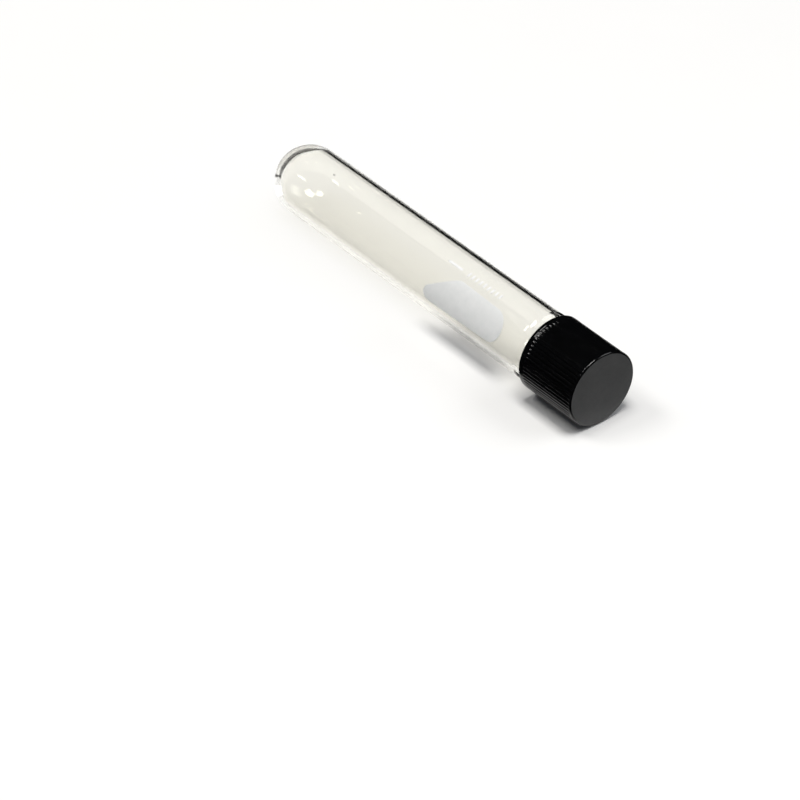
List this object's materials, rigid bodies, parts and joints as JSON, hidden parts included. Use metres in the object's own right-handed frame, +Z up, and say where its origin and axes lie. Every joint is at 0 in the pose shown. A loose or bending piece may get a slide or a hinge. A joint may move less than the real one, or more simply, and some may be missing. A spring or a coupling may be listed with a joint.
{
  "type": "screw-cap culture tube",
  "caption": "Round-bottom glass test tube with a threaded neck, a ribbed black screw cap, a lined roof and a white marking spot.",
  "frame": {"origin": "under the middle of the capped tube, on the line that the lying cap rests on", "axes": "+X along the tube's axis from the round bottom to the cap, +Z up as the tube lies, +Y across"},
  "size_m": [0.1038, 0.0174, 0.0175],
  "materials": {
    "borosilicate_glass": "clear, fire polished",
    "white_enamel": "fired ceramic enamel, slightly rough to take a pencil",
    "white_print": "fired ceramic enamel",
    "black_phenolic": "moulded black phenolic, glossy side and matte face",
    "liner_rubber": "matte",
    "liner_film": "smooth, waxy"
  },
  "bodies": {
    "tube": {"glass_tube": "borosilicate_glass", "marking_spot": "white_enamel", "printed_marks": "white_print"},
    "liner": {"rubber_liner": "liner_rubber", "liner_facing": "liner_film"},
    "cap": {"screw_cap": "black_phenolic"}
  },
  "joints": [
    {"name": "cap_travel", "type": "slide", "parent": "tube", "child": "liner", "axis": [1, 0, 0], "range_m": [0, 0.0138]},
    {"name": "cap_turn", "type": "hinge", "parent": "liner", "child": "cap", "pos_m": [0.04315, 0, 0.00875], "axis": [1, 0, 0], "range_deg": [0, 2340]}
  ],
  "couplings": [
    {"joint": "cap_travel", "follows": "cap_turn", "m_per_rad": 0.00033693}
  ]
}
